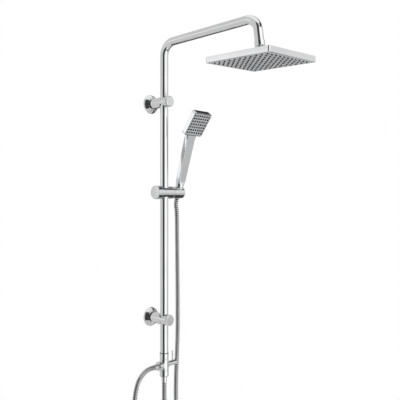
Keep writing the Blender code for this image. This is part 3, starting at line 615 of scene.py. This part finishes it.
# ---------------------------------------------------------------- slider, knob and holder
def build_slider():
    """The slider's body on the riser and the round knob that clamps it."""
    body = lathe("slider_block", disc_outline(SLIDER_R, SLIDER_X0, SLIDER_X1), RIGHT, fillet=0.0008)
    upright = along((0, RY, SLIDER_Z), (0, 0, 1), (0, -1, 0))
    body = combine(body, [lathe("slider_bore", disc_outline(SLIDER_BORE_R, -CLEAR, CLEAR), upright)])
    stand_for(body, "slider_body")
    back = SLIDER_X0 - GAP
    knob = lathe("clamp_wheel", [
        (0, back), (KNOB_R - 0.0006, back), (KNOB_R, back - 0.0008), (KNOB_R, KNOB_FACE + 0.0012),
        (KNOB_R - 0.0012, KNOB_FACE), (0, KNOB_FACE)], RIGHT, fillet=0.0009)
    stand_for(knob, "clamp_knob")


def nut_r(s):
    """The radius of the tapered nut at a height along the handle."""
    return NUT_R0 + (NUT_R1 - NUT_R0) * (s - NUT_LOW) / (NUT_HIGH - NUT_LOW)


def box(name, size, centre, place):
    """A cuboid, as a cutter."""
    bm = bmesh.new()
    bmesh.ops.create_cube(bm, size=1)
    bmesh.ops.scale(bm, vec=size, verts=bm.verts)
    bmesh.ops.translate(bm, vec=centre, verts=bm.verts)
    return add_mesh(name, bm, place)


def build_holder():
    """The barrel that holds the hand shower, with its tapered socket and slot."""
    barrel = lathe("holder_barrel", [
        (0, BARREL_X1), (BARREL_R - 0.0042, BARREL_X1), (BARREL_R - 0.0016, BARREL_X1 - 0.0010),
        (BARREL_R - 0.0003, BARREL_X1 - 0.0030), (BARREL_R, BARREL_X1 - 0.0052),
        (BARREL_R, BARREL_X0), (0, BARREL_X0)], RIGHT, fillet=0.0008)
    play = 0.00035           # between the nut and its socket
    socket = [(0, CLEAR), (nut_r(CLEAR) + play, CLEAR), (nut_r(-CLEAR) + play, -CLEAR), (0, -CLEAR)]
    combine(barrel, [lathe("holder_socket", socket, HAND),
                     box("holder_slot", (0.030, SLOT_WIDE, 0.080), (-0.015, 0, 0), HAND),
                     lathe("holder_bore", disc_outline(0.0043, 0.020, 0.0405), RIGHT)])
    stand_for(barrel, "handset_holder")


# ---------------------------------------------------------------- handset
def section(centre, front, wide, thick, corner, per=12):
    """A rounded rectangle across the handle, with its width along X.

    One more point on the flat at each end of a corner keeps the shading of the flats even.
    """
    pts = []
    flat = min(0.0006, wide / 2 - corner, thick / 2 - corner)
    for sx, sy in ((1, 1), (-1, 1), (-1, -1), (1, -1)):
        start = math.atan2(sy, sx) - math.pi / 4
        cx, cy = sx * (wide / 2 - corner), sy * (thick / 2 - corner)
        arc_pts = [(cx + corner * math.cos(t), cy + corner * math.sin(t))
                   for t in (start + math.pi / 2 * k / per for k in range(per + 1))]
        lead = (-sx * flat * abs(math.sin(start)), -sy * flat * abs(math.cos(start)))
        tail = (-sx * flat * abs(math.cos(start)), -sy * flat * abs(math.sin(start)))
        pts.append((arc_pts[0][0] + lead[0], arc_pts[0][1] + lead[1]))
        pts += arc_pts
        pts.append((arc_pts[-1][0] + tail[0], arc_pts[-1][1] + tail[1]))
    return [centre + Vector((1, 0, 0)) * x + front * y for x, y in pts]


GRIP_CORNER = 0.0012
GRIP = [  # height along the handle, width, thickness, corner radius
    (NUT_HIGH + GAP, 0.0236, 0.0236, 0.0117),
    (0.0240, 0.0240, 0.0236, 0.0114),
    (0.0290, 0.0256, 0.0214, 0.0088),
    (0.0350, 0.0276, 0.0180, 0.0050),
    (0.0450, 0.0284, 0.0162, 0.0024),
    (0.0900, 0.0296, 0.0150, 0.0014),
    (0.1500, 0.0316, 0.0146, GRIP_CORNER),
    (0.1660, 0.0322, 0.0146, GRIP_CORNER)]
GRIP_STEPS = 6               # sections from one of these to the next


def grip_rings():
    """The grip's sections, from its foot up into the head."""
    keys = [(PIVOT + HAND_UP * s, HAND_FRONT, w, t, r) for s, w, t, r in GRIP]
    mid = FACE - FACE_OUT * (HAND_T * 0.52)
    keys.append((mid - FACE_UP * (HAND_L / 2 + 0.0010), (HAND_FRONT + FACE_OUT).normalized(),
                 0.0330, 0.0140, GRIP_CORNER))
    keys.append((mid - FACE_UP * (HAND_L / 2 - 0.0120), FACE_OUT, 0.0330, 0.0120, GRIP_CORNER))
    rings = []
    for a, b in zip(keys, keys[1:]):
        for k in range(GRIP_STEPS):
            f = k / GRIP_STEPS
            mixed = [x * (1 - f) + y * f for x, y in zip(a[2:], b[2:])]
            rings.append(section(a[0].lerp(b[0], f), a[1].lerp(b[1], f).normalized(), *mixed))
    rings.append(section(*keys[-1]))
    return rings


def build_handset():
    """The hand shower's shell, grip and head in one, and the tapered nut under it."""
    bm = bmesh.new()
    rings = [[bm.verts.new(p) for p in ring] for ring in grip_rings()]
    skin(bm, rings, False)
    bm.faces.new(rings[0])
    bm.faces.new(rings[-1][::-1])
    grip = add_mesh("grip", bm)
    inside = -HAND_T + 0.0024                # the cavity's back wall
    shell = tray("hand_shell", HAND_W, HAND_L, HAND_CORNER, [
        (0.0, -HAND_T), (0.0, 0.0), (HAND_RIM, 0.0), (HAND_RIM, inside)], HAND_FACE, fillet=0.0006)
    shell = combine(shell, [grip], "UNION")
    cavity = tray("hand_cavity", HAND_W - 2 * HAND_RIM, HAND_L - 2 * HAND_RIM,
                  HAND_CORNER - HAND_RIM, [(0.0, inside), (0.0, 0.01)], HAND_FACE, fillet=0.0003)
    waterway_r, inlet_r, inlet_top = 0.0042, 0.0092, 0.0285
    combine(shell, [cavity, lathe("hand_waterway", disc_outline(waterway_r, 0.0, 0.1790), HAND),
                    lathe("hand_inlet", disc_outline(inlet_r, 0.0, inlet_top), HAND)])
    stand_for(shell, "handset_shell")
    chamfer = 0.0008
    nut = lathe("handset_nut", [
        (0.0107, NUT_HIGH), (NUT_R1, NUT_HIGH), (NUT_R0, NUT_LOW + chamfer),
        (NUT_R0 - chamfer, NUT_LOW), (0.0080, NUT_LOW), (0.0080, 0.0042), (0.0107, 0.0042)], HAND)
    stand_for(nut, "handset_hose_nut")


# ---------------------------------------------------------------- diverter
def paint_shade_band(ob, place, low, high):
    """Gives the faces of a turned piece between two heights black rubber, as painted shade for the
    dark line at a joint.
    """
    ob.data.materials.append(RUBBER)
    inwards = place.inverted()
    for face in ob.data.polygons:
        if low < (inwards @ face.center).z < high:
            face.material_index = 1


def build_diverter():
    """The diverter's body, its collar on the riser, and its side handle with the lever."""
    thread_r, spigot_r, way_r = 0.0104, 0.0085, 0.0062       # outlets, spigot in the riser, bore
    through = 0.040
    body = lathe("diverter_upright", [
        (0, 0.0320), (spigot_r, 0.0320), (spigot_r, COLLAR_LOW - GAP), (DIV_R, COLLAR_LOW - GAP),
        (DIV_R, -0.0140), (thread_r, -0.0140), (thread_r, -0.0240), (0, -0.0240)], DIV_TOP)
    cross = lathe("diverter_cross", [
        (0, 0.0133), (0.0108, 0.0133), (0.0108, -0.0102), (thread_r, -0.0106),
        (thread_r, -0.0228), (0, -0.0228)], DIV_SIDE)
    body = combine(body, [cross], "UNION")
    combine(body, [lathe("diverter_way", disc_outline(way_r, -through, through), DIV_TOP),
                   lathe("diverter_branch", disc_outline(way_r, -through, 0), DIV_SIDE),
                   lathe("diverter_chamber", disc_outline(spigot_r, -0.0060, 0.030), DIV_SIDE)])
    stand_for(body, "diverter_body")
    shade_band_low = COLLAR_TOP - 0.0017               # where the black band of painted shade at the collar's mouth begins
    collar = lathe("diverter_ferrule", [
        (RISER_R + GAP, COLLAR_LOW), (DIV_R, COLLAR_LOW), (DIV_R, shade_band_low - 0.0001),
        (DIV_R - 0.0004, shade_band_low), (DIV_R - 0.0004, COLLAR_TOP), (RISER_R + GAP, COLLAR_TOP)],
        DIV_TOP, fillet=0.0003)
    stand_for(collar, "diverter_collar")
    # black rubber at the collar's mouth: painted shade for the dark line where the riser enters
    paint_shade_band(collar, DIV_TOP, shade_band_low, COLLAR_TOP + 0.0001)
    chamfer, foot = 0.0012, 0.0136
    handle = lathe("diverter_grip", [
        (0, DIV_HANDLE_END), (DIV_HANDLE_R - chamfer, DIV_HANDLE_END),
        (DIV_HANDLE_R, DIV_HANDLE_END - chamfer), (DIV_HANDLE_R, foot), (0, foot)],
        DIV_SIDE, fillet=0.0008)
    lever_at = along((LEVER_X, RY, DIV_Z), (0, 0, 1), (0, -1, 0))
    combine(handle, [lathe("lever_hole", disc_outline(LEVER_R + GAP, 0.0018, 0.020), lever_at),
                     lathe("spindle_hole", disc_outline(0.0033, 0, 0.0265), DIV_SIDE)])
    stand_for(handle, "diverter_handle")
    lever = lathe("diverter_pin", disc_outline(LEVER_R, 0.0021, LEVER_TIP), lever_at, fillet=0.0012)
    stand_for(lever, "diverter_lever")


def union_nut(name, node, outline, place):
    nut = lathe(name, outline, place, fillet=0.0006)
    stand_for(nut, node)
    return nut


def build_unions():
    """The two unions under and beside the diverter, and the fittings of the supply hose's foot."""
    union_nut("branch_nut", "hose_nut_diverter", [
        (THREAD_R, -0.0137), (UNION_R - 0.0012, -0.0137), (UNION_R, -0.0149), (UNION_R, -0.0246),
        (UNION_R - 0.0024, -0.0270), (TAIL_R, -0.0270), (TAIL_R, -0.0252), (THREAD_R, -0.0252)],
        DIV_SIDE)
    union_nut("branch_sleeve", "hose_sleeve_diverter", [
        (BORE_R, -0.0231), (HEEL_R, -0.0231), (HEEL_R, -0.0249), (NECK_R, -0.0249),
        (NECK_R, -0.0275), (0.0080, -0.0280), (0.0080, -0.0400), (BORE_R, -0.0400)], DIV_SIDE)
    foot, step = -0.0328, -0.0313            # the inlet nut's lower end, and the upper edge of its black band of painted shade
    inlet_nut = union_nut("inlet_nut", "supply_hose_nut", [
        (THREAD_R, -0.0143), (UNION_R, -0.0143), (UNION_R, step), (UNION_R - 0.0004, step - 0.0001),
        (UNION_R - 0.0004, foot), (TAIL_R, foot), (TAIL_R, -0.0310), (THREAD_R, -0.0310)], DIV_TOP)
    # black rubber at the nut's foot: painted shade for the dark line between nut and sleeve
    paint_shade_band(inlet_nut, DIV_TOP, foot - 0.0001, step)
    union_nut("inlet_sleeve", "supply_hose_sleeve", [
        (BORE_R, -0.0275), (HEEL_R, -0.0275), (HEEL_R, -0.0307), (NECK_R, -0.0307),
        (NECK_R, -0.0334), (0.0084, -0.0340), (0.0084, -0.0380), (0.0075, -0.0525),
        (BORE_R, -0.0525)], DIV_TOP)
    union_nut("end_sleeve", "supply_end_sleeve", [
        (BORE_R, 0.0230), (HEEL_R, 0.0230), (HEEL_R, 0.0200), (NECK_R, 0.0200), (NECK_R, 0.0186),
        (0.0084, 0.0180), (0.0084, 0.0140), (0.0075, 0.0003), (BORE_R, 0.0003)], SUPPLY_END)
    nut = lathe("end_nut", [
        (0, 0.0345), (0.0132, 0.0345), (0.0140, 0.0337), (0.0140, 0.0200), (0.0132, 0.0190),
        (0, 0.0190)], SUPPLY_END, steps=6, fillet=0.0004)
    combine(nut, [lathe("end_nut_bore", [
        (0, 0.0360), (0.0107, 0.0360), (0.0107, 0.0197), (0.0080, 0.0197), (0.0080, 0.0180),
        (0, 0.0180)], SUPPLY_END)])
    stand_for(nut, "supply_end_nut")


# ---------------------------------------------------------------- hoses
HOSE_SIDES = 24              # facets round a hose
RING_PITCH = 0.0066          # one turn of the wound steel
# (part of a turn, radius): a groove, then a round-edged ring
RING_PROFILE = [(0.0, 0.0055), (0.36, 0.0055), (0.40, 0.0066), (0.46, HOSE_R), (0.56, HOSE_R),
                (0.80, HOSE_R), (0.90, HOSE_R), (0.96, 0.0066)]
GROOVE_STEPS = (0, 1, 7)     # the steps of that profile that lie in the groove

# the hand shower's hose: down from the handset, round a hanging loop, back up to the diverter
LOOP_X0, LOOP_X1, LOOP_Z = -0.1160, 0.0505, -0.4834
LOOP_R = (LOOP_X1 - LOOP_X0) / 2
HOSE_START = PIVOT + HAND_UP * -0.0193
HOSE_WAY = [HOSE_START, HOSE_START - HAND_UP * 0.014]
HOSE_WAY += [Vector((x, RY - w, z)) for x, w, z in (
    (0.0628, -0.0112, 0.318), (0.0650, -0.0125, 0.270), (0.0660, -0.0120, 0.170),
    (0.0662, -0.0107, 0.050), (0.0656, -0.0104, -0.050), (0.0650, -0.0134, -0.125),
    (0.0645, -0.0160, -0.185), (0.0634, -0.0158, -0.250), (0.0600, -0.0085, -0.330),
    (0.0545, 0.0035, -0.410))]
HOSE_WAY += [Vector(((LOOP_X0 + LOOP_X1) / 2 + LOOP_R * math.cos(t),
                     RY - 0.0150 - 0.0060 * math.sin(t), LOOP_Z - LOOP_R * math.sin(t)))
             for t in (math.radians(a) for a in range(0, 181, 30))]
HOSE_WAY += [Vector((x, RY - w, z)) for x, w, z in (
    (-0.1163, 0.0080, -0.400), (-0.1162, 0.0030, -0.310), (-0.1150, 0.0, -0.235),
    (-0.1100, 0.0, -0.190), (-0.0985, 0.0, -0.1610), (-0.0800, 0.0, -0.1440),
    (-0.0620, 0.0, -0.1366), (-0.0500, 0.0, -0.1360), (-0.0412, 0.0, -0.1360))]
INTO_SLEEVE = RING_PITCH     # how far a hose runs on inside the sleeve at its end


def smooth_way(points, per=12):
    """A centripetal Catmull-Rom curve through the points."""
    pts = [points[0] * 2 - points[1]] + list(points) + [points[-1] * 2 - points[-2]]
    out = []
    for p0, p1, p2, p3 in zip(pts, pts[1:], pts[2:], pts[3:]):
        t0 = 0.0
        t1 = t0 + (p1 - p0).length ** 0.5
        t2 = t1 + (p2 - p1).length ** 0.5
        t3 = t2 + (p3 - p2).length ** 0.5
        for i in range(per):
            t = t1 + (t2 - t1) * i / per
            a1 = p0 * ((t1 - t) / (t1 - t0)) + p1 * ((t - t0) / (t1 - t0))
            a2 = p1 * ((t2 - t) / (t2 - t1)) + p2 * ((t - t1) / (t2 - t1))
            a3 = p2 * ((t3 - t) / (t3 - t2)) + p3 * ((t - t2) / (t3 - t2))
            b1 = a1 * ((t2 - t) / (t2 - t0)) + a2 * ((t - t0) / (t2 - t0))
            b2 = a2 * ((t3 - t) / (t3 - t1)) + a3 * ((t - t1) / (t3 - t1))
            out.append(b1 * ((t2 - t) / (t2 - t1)) + b2 * ((t - t1) / (t2 - t1)))
    return out + [points[-1].copy()]


class Way:
    """A poly line that can be asked for the point at any length along it."""

    def __init__(self, points):
        self.points = points
        self.marks = [0.0]
        for a, b in zip(points, points[1:]):
            self.marks.append(self.marks[-1] + (b - a).length)
        self.length = self.marks[-1]

    def at(self, s):
        k = 0
        while k < len(self.marks) - 2 and self.marks[k + 1] < s:
            k += 1
        f = (s - self.marks[k]) / (self.marks[k + 1] - self.marks[k])
        return self.points[k].lerp(self.points[k + 1], f)

    def stretch(self, start, end, count):
        return [self.at(start + (end - start) * i / count) for i in range(count + 1)]


def wound_hose(name, way, start, end, before=0.0, after=0.0):
    """A length of wound steel hose, its turns one after another; it may run on into sleeves."""
    turns = round((end - start) / RING_PITCH)
    path, radii = [], []
    if before:
        path.append(way.at(start - before))
        radii.append(RING_PROFILE[0][1])
    for turn in range(turns):
        for f, r in RING_PROFILE:
            path.append(way.at(start + (turn + f) * (end - start) / turns))
            radii.append(r)
    path.append(way.at(end + after))
    radii.append(RING_PROFILE[0][1])
    return sweep(name, path, radii, HOSE_SIDES)


def paint_shade_in_grooves(hose, before):
    """Gives the faces in the grooves between the turns a near-black steel, as painted shade."""
    hose.data.materials.append(HOSE_GROOVE_SHADE)
    for face in hose.data.polygons:
        step = face.index // HOSE_SIDES - (1 if before else 0)
        if step % len(RING_PROFILE) in GROOVE_STEPS:
            face.material_index = 1


def build_handset_hose():
    """The hand shower's hose, in three pieces."""
    way = Way(smooth_way(HOSE_WAY))
    cuts = (0.0, HOSE_TOP_PART, HOSE_TOP_PART + HOSE_MID_PART, way.length)
    points = [way.at(s) for s in cuts]
    loop_end = points[2] + Vector((-0.97, 0, -0.2425)) * 0.1659
    for k, (name, node, bodies, end, count, before, after) in enumerate((
            ("hose_by_the_handset", "handset_hose_top", ("handset", "holder"), points[1], 15,
             INTO_SLEEVE, 0),
            ("hose_by_the_holder", "handset_hose_middle", ("holder", "slider"), points[2], 15, 0, 0),
            ("hose_hanging_loop", "handset_hose_loop", ("slider", "column"), loop_end, 40,
             0, INTO_SLEEVE))):
        hose = wound_hose(name, way, cuts[k], cuts[k + 1], before, after)
        stand_for(hose, node, bodies)
        paint_shade_in_grooves(hose, before)


def build_supply_hose():
    """The straight hose that hangs under the diverter."""
    straight = [Vector((0, RY, SUPPLY_TOP + INTO_SLEEVE)), Vector((0, RY, SUPPLY_FOOT - INTO_SLEEVE))]
    way = Way(straight)
    length = SUPPLY_TOP - SUPPLY_FOOT
    hose = wound_hose("hose_to_the_mixer", way, INTO_SLEEVE, INTO_SLEEVE + length, INTO_SLEEVE,
                      INTO_SLEEVE)
    stand_for(hose, "supply_hose")
    paint_shade_in_grooves(hose, INTO_SLEEVE)


# ---------------------------------------------------------------- camera, light and floor
DEGREES = 180 / math.pi
CAMERA_AT = (-1.1268, -1.2834, 0.3559)
CAMERA_TURN = (math.radians(90), 0, math.radians(-46.38))
FLOOR_Z, FLOOR_R = -0.70, 0.80


def build_camera():
    """The main view."""
    lens = bpy.data.cameras.new("camera")
    lens.lens, lens.sensor_width = 50, 36
    ob = bpy.data.objects.new("camera", lens)
    ob.location, ob.rotation_euler = CAMERA_AT, CAMERA_TURN
    bpy.context.scene.collection.objects.link(ob)
    bpy.context.scene.camera = ob


STUDIO_GREY = 0.63           # the studio's brightness where there is no panel

# Each panel of the studio: bearing and height of its middle, half width, half height and
# softness of its edge, all in degrees, and its brightness. Bearing 0 is from the object to the
# camera, and positive is to the camera's right. A later panel covers the ones before it.
PANELS = [
    (0, 90, 180, 34, 7, 0.90),          # ceiling
    (0, -90, 180, 33, 9, 1.00),         # floor
    (-10, 0, 28, 52, 5, 0.055),         # black flag beside the camera
    (102, 0, 22, 30, 5, 0.76),          # pale card at the right
    (150, 0, 30, 30, 6, 0.43),          # grey card behind it
    (96, -24, 38, 16, 10, 0.54),        # the cards' shaded lower part
    (51, 0, 34, 34, 4, 1.12),           # big soft box at the right
    (112, 43, 54, 9, 4, 0.035),         # flags over and under the cards
    (112, -41, 54, 9, 4, 0.05),
    (180, -31, 26, 14, 5, 0.05),        # dark foot of the wall
    (-82, 5.3, 9, 4.7, 3, 1.05)]        # narrow soft box at the left


def build_world():
    """White to the camera; to everything else a grey studio with the panels in it."""
    world = bpy.data.worlds.new("studio")
    world.use_nodes = True
    bpy.context.scene.world = world
    tree = world.node_tree
    nodes, links = tree.nodes, tree.links
    nodes.clear()

    def maths(kind, *values):
        node = nodes.new("ShaderNodeMath")
        node.operation = kind
        for socket, value in zip(node.inputs, values):
            if isinstance(value, (int, float)):
                socket.default_value = value
            else:
                links.new(value, socket)
        return node.outputs[0]

    def facing(ray, direction):
        node = nodes.new("ShaderNodeVectorMath")
        node.operation = "DOT_PRODUCT"
        links.new(ray, node.inputs[0])
        node.inputs[1].default_value = direction
        return node.outputs["Value"]

    ray = nodes.new("ShaderNodeTexCoord").outputs["Generated"]
    turn = CAMERA_TURN[2]
    to_right = (math.cos(turn), math.sin(turn), 0)
    to_camera = (math.cos(turn - math.pi / 2), math.sin(turn - math.pi / 2), 0)
    bearing = maths("MULTIPLY", maths("ARCTAN2", facing(ray, to_right), facing(ray, to_camera)),
                    DEGREES)
    height = maths("MULTIPLY", maths("ARCSINE", facing(ray, (0, 0, 1))), DEGREES)
    light = None
    for at, up, half_wide, half_high, soft, level in PANELS:
        off = maths("ABSOLUTE", maths("WRAP", maths("SUBTRACT", bearing, at), 180, -180))
        inside = []
        rise = maths("ABSOLUTE", maths("SUBTRACT", height, up))
        for away, half in ((off, half_wide), (rise, half_high)):
            step = nodes.new("ShaderNodeMapRange")
            step.interpolation_type = "SMOOTHSTEP"
            step.inputs["From Min"].default_value = half - soft / 2
            step.inputs["From Max"].default_value = half + soft / 2
            step.inputs["To Min"].default_value = 1
            step.inputs["To Max"].default_value = 0
            links.new(away, step.inputs["Value"])
            inside.append(step.outputs["Result"])
        cover = maths("MULTIPLY", *inside)
        before = STUDIO_GREY if light is None else light
        light = maths("ADD", maths("MULTIPLY", before, maths("SUBTRACT", 1, cover)),
                      maths("MULTIPLY", cover, level))
    seen = nodes.new("ShaderNodeLightPath").outputs["Is Camera Ray"]
    strength = maths("ADD", maths("MULTIPLY", light, maths("SUBTRACT", 1, seen)), seen)
    back = nodes.new("ShaderNodeBackground")
    back.inputs["Color"].default_value = (1, 1, 1, 1)
    links.new(strength, back.inputs["Strength"])
    out = nodes.new("ShaderNodeOutputWorld")
    links.new(back.outputs["Background"], out.inputs["Surface"])
    bpy.context.scene.view_settings.view_transform = "Standard"


def build_floor():
    """A pale round floor under the hanging hoses, out of the main view."""
    bm = bmesh.new()
    rings = [[bm.verts.new((0, 0, 0))]]
    sides, bevel = 128, 0.004
    for r, h in ((FLOOR_R * 0.5, 0), (FLOOR_R - bevel, 0), (FLOOR_R, -bevel), (FLOOR_R, -0.02)):
        rings.append([bm.verts.new((r * math.cos(t), r * math.sin(t), h))
                      for t in (2 * math.pi * i / sides for i in range(sides))])
    skin(bm, rings, False)
    floor = add_mesh("floor", bm, Matrix.Translation((0, RY, FLOOR_Z)))
    paint(floor, FLOOR_PAINT)


# ---------------------------------------------------------------- the whole column
for node, ob in frame["nodes"].items():
    for slot in ob.material_slots:
        slot.material = MATERIAL_OF_SLOT[SLOT_OF[node]]

build_camera()
build_world()
build_floor()
build_riser()
build_bracket("upper", UPPER_Z)
build_bracket("lower", 0.0)
build_neck()
build_rain_head()
build_spray("rain", "rain", HEAD_SIDE - 2 * HEAD_RIM - 2 * GAP, HEAD_SIDE - 2 * HEAD_RIM - 2 * GAP,
            0.0017, RAIN_GRID, RAIN_PITCH, 0.0031, (0.0018, 0.0025), 0.0020, RAIN_FACE)
build_slider()
build_holder()
build_handset()
build_spray("hand", "handset", HAND_W - 2 * HAND_RIM - 2 * GAP, HAND_L - 2 * HAND_RIM - 2 * GAP,
            0.0022, HAND_GRID, HAND_PITCH, 0.0028, (0.0018, 0.0023), 0.0012, HAND_FACE)
build_diverter()
build_unions()
build_handset_hose()
build_supply_hose()
